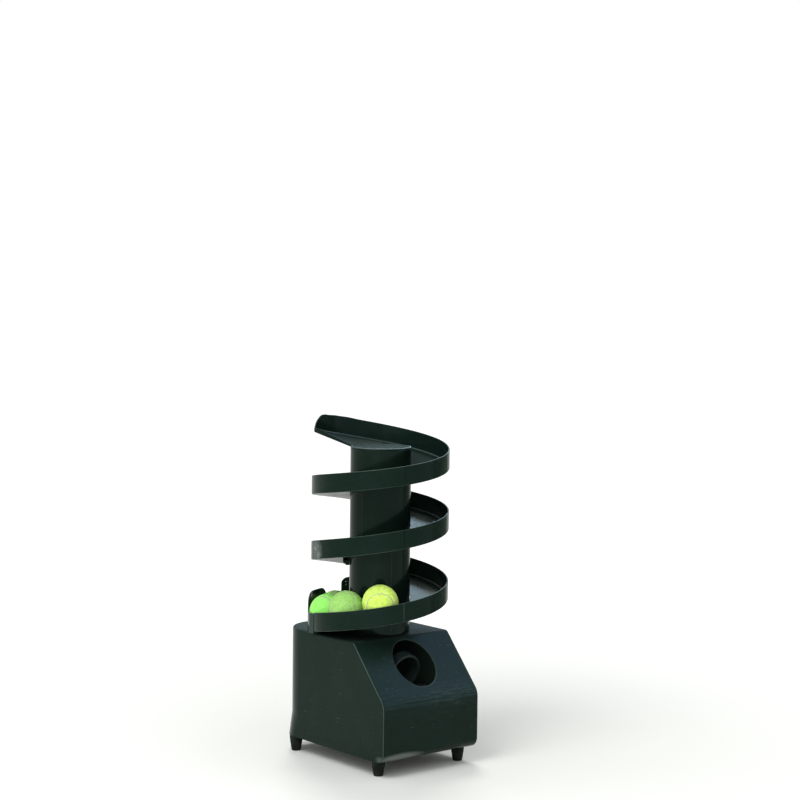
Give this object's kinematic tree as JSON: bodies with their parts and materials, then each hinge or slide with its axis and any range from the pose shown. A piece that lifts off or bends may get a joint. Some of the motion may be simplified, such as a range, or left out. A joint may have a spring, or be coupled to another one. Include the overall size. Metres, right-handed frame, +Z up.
{
  "type": "tennis ball machine",
  "caption": "Battery ball thrower: a case with a round hole in its sloped front, a hollow column on top and a spiral ramp that feeds balls to a sprung throwing arm.",
  "frame": {"origin": "on the ground under the middle of the machine's overall box", "axes": "+Z up, -Y towards the front with the throw hole, +X to the right seen from behind the throw"},
  "size_m": [0.2617, 0.3322, 0.6498],
  "materials": {
    "case_plastic": "black moulded plastic, glossy, lightly scuffed",
    "inner_plastic": "black moulded plastic, satin",
    "gear_plastic": "natural white gear plastic",
    "rubber": "black rubber",
    "steel": "plain steel",
    "brass": "plain brass",
    "cell_jacket": "plain shrink jacket",
    "circuit_board": "green board",
    "felt_yellow": "yellow felt",
    "felt_green": "bright green felt",
    "felt_dull_green": "pale green felt"
  },
  "bodies": {
    "machine": {"housing_shell": "case_plastic", "rear_panel": "case_plastic", "column_lower": "case_plastic", "column_middle": "case_plastic", "column_upper": "case_plastic", "ramp_landing": "case_plastic", "ramp_section_1": "case_plastic", "ramp_section_2": "case_plastic", "ramp_section_3": "case_plastic", "ramp_section_4": "case_plastic", "ramp_section_5": "case_plastic", "inlet_guard": "case_plastic", "base_plate": "inner_plastic", "feed_chute": "inner_plastic", "battery_tray": "inner_plastic", "switch_body": "inner_plastic", "charging_socket": "inner_plastic", "foot_front_left": "rubber", "foot_front_right": "rubber", "foot_rear_left": "rubber", "foot_rear_right": "rubber", "buffer_pad": "rubber", "panel_screw_1": "steel", "panel_screw_2": "steel", "panel_screw_3": "steel", "panel_screw_4": "steel", "base_screw_1": "steel", "base_screw_2": "steel", "base_screw_3": "steel", "base_screw_4": "steel", "arm_bracket_left": "steel", "arm_bracket_right": "steel", "throw_spring_left": "steel", "throw_spring_right": "steel", "arm_shaft": "steel", "buffer_bar": "steel", "cam_shaft": "steel", "gear_motor": "steel", "arm_bush_left": "brass", "arm_bush_right": "brass", "battery_cell_1": "cell_jacket", "battery_cell_2": "cell_jacket", "battery_cell_3": "cell_jacket", "battery_cell_4": "cell_jacket", "battery_cell_5": "cell_jacket", "battery_cell_6": "cell_jacket", "control_board": "circuit_board"},
    "arm": {"throwing_arm": "inner_plastic"},
    "cam": {"cam_gear": "gear_plastic"},
    "crank_roller": {"crank_roller": "brass"},
    "pinion": {"motor_pinion": "brass"},
    "gate": {"feed_gate": "inner_plastic"},
    "battery_door": {"battery_door": "case_plastic"},
    "rocker": {"rocker_switch": "rubber"},
    "ball_1": {"ball_1": "felt_green"},
    "ball_2": {"ball_2": "felt_dull_green"},
    "ball_3": {"ball_3": "felt_green"},
    "ball_4": {"ball_4": "felt_dull_green"},
    "ball_5": {"ball_5": "felt_yellow"}
  },
  "joints": [
    {"name": "arm_swing", "type": "hinge", "parent": "machine", "child": "arm", "pos_m": [0, -0.05014, 0.07], "axis": [-1, 0, 0], "range_deg": [0, 95], "stiffness_Nm_per_rad": 0.6, "springref_deg": -17.19},
    {"name": "cam_turn", "type": "hinge", "parent": "machine", "child": "cam", "pos_m": [0.022, -0.01414, 0.068], "axis": [1, 0, 0], "continuous": true},
    {"name": "pinion_turn", "type": "hinge", "parent": "machine", "child": "pinion", "pos_m": [0.022, 0.01195, 0.04973], "axis": [1, 0, 0], "continuous": true},
    {"name": "roller_turn", "type": "hinge", "parent": "cam", "child": "crank_roller", "pos_m": [0.014, -0.01414, 0.084], "axis": [1, 0, 0], "continuous": true},
    {"name": "gate_slide", "type": "slide", "parent": "machine", "child": "gate", "axis": [0, -1, 0], "range_m": [0, 0.076]},
    {"name": "battery_door_slide", "type": "slide", "parent": "machine", "child": "battery_door", "axis": [0, 1, 0], "range_m": [0, 0.07]},
    {"name": "rocker_tilt", "type": "hinge", "parent": "machine", "child": "rocker", "pos_m": [-0.022, 0.15966, 0.192], "axis": [-1, 0, 0], "range_deg": [0, 16]},
    {"name": "ball_1_lift", "type": "slide", "parent": "machine", "child": "ball_1", "axis": [0, 0, 1], "range_m": [0, 0.03]},
    {"name": "ball_2_lift", "type": "slide", "parent": "machine", "child": "ball_2", "axis": [0, 0, 1], "range_m": [0, 0.04]},
    {"name": "ball_3_lift", "type": "slide", "parent": "machine", "child": "ball_3", "axis": [0, 0, 1], "range_m": [0, 0.04]},
    {"name": "ball_4_lift", "type": "slide", "parent": "machine", "child": "ball_4", "axis": [0, 0, 1], "range_m": [0, 0.04]},
    {"name": "ball_5_lift", "type": "slide", "parent": "machine", "child": "ball_5", "axis": [0, 0, 1], "range_m": [0, 0.04]}
  ],
  "couplings": [
    {"joint": "pinion_turn", "follows": "cam_turn", "ratio": -3.2}
  ]
}
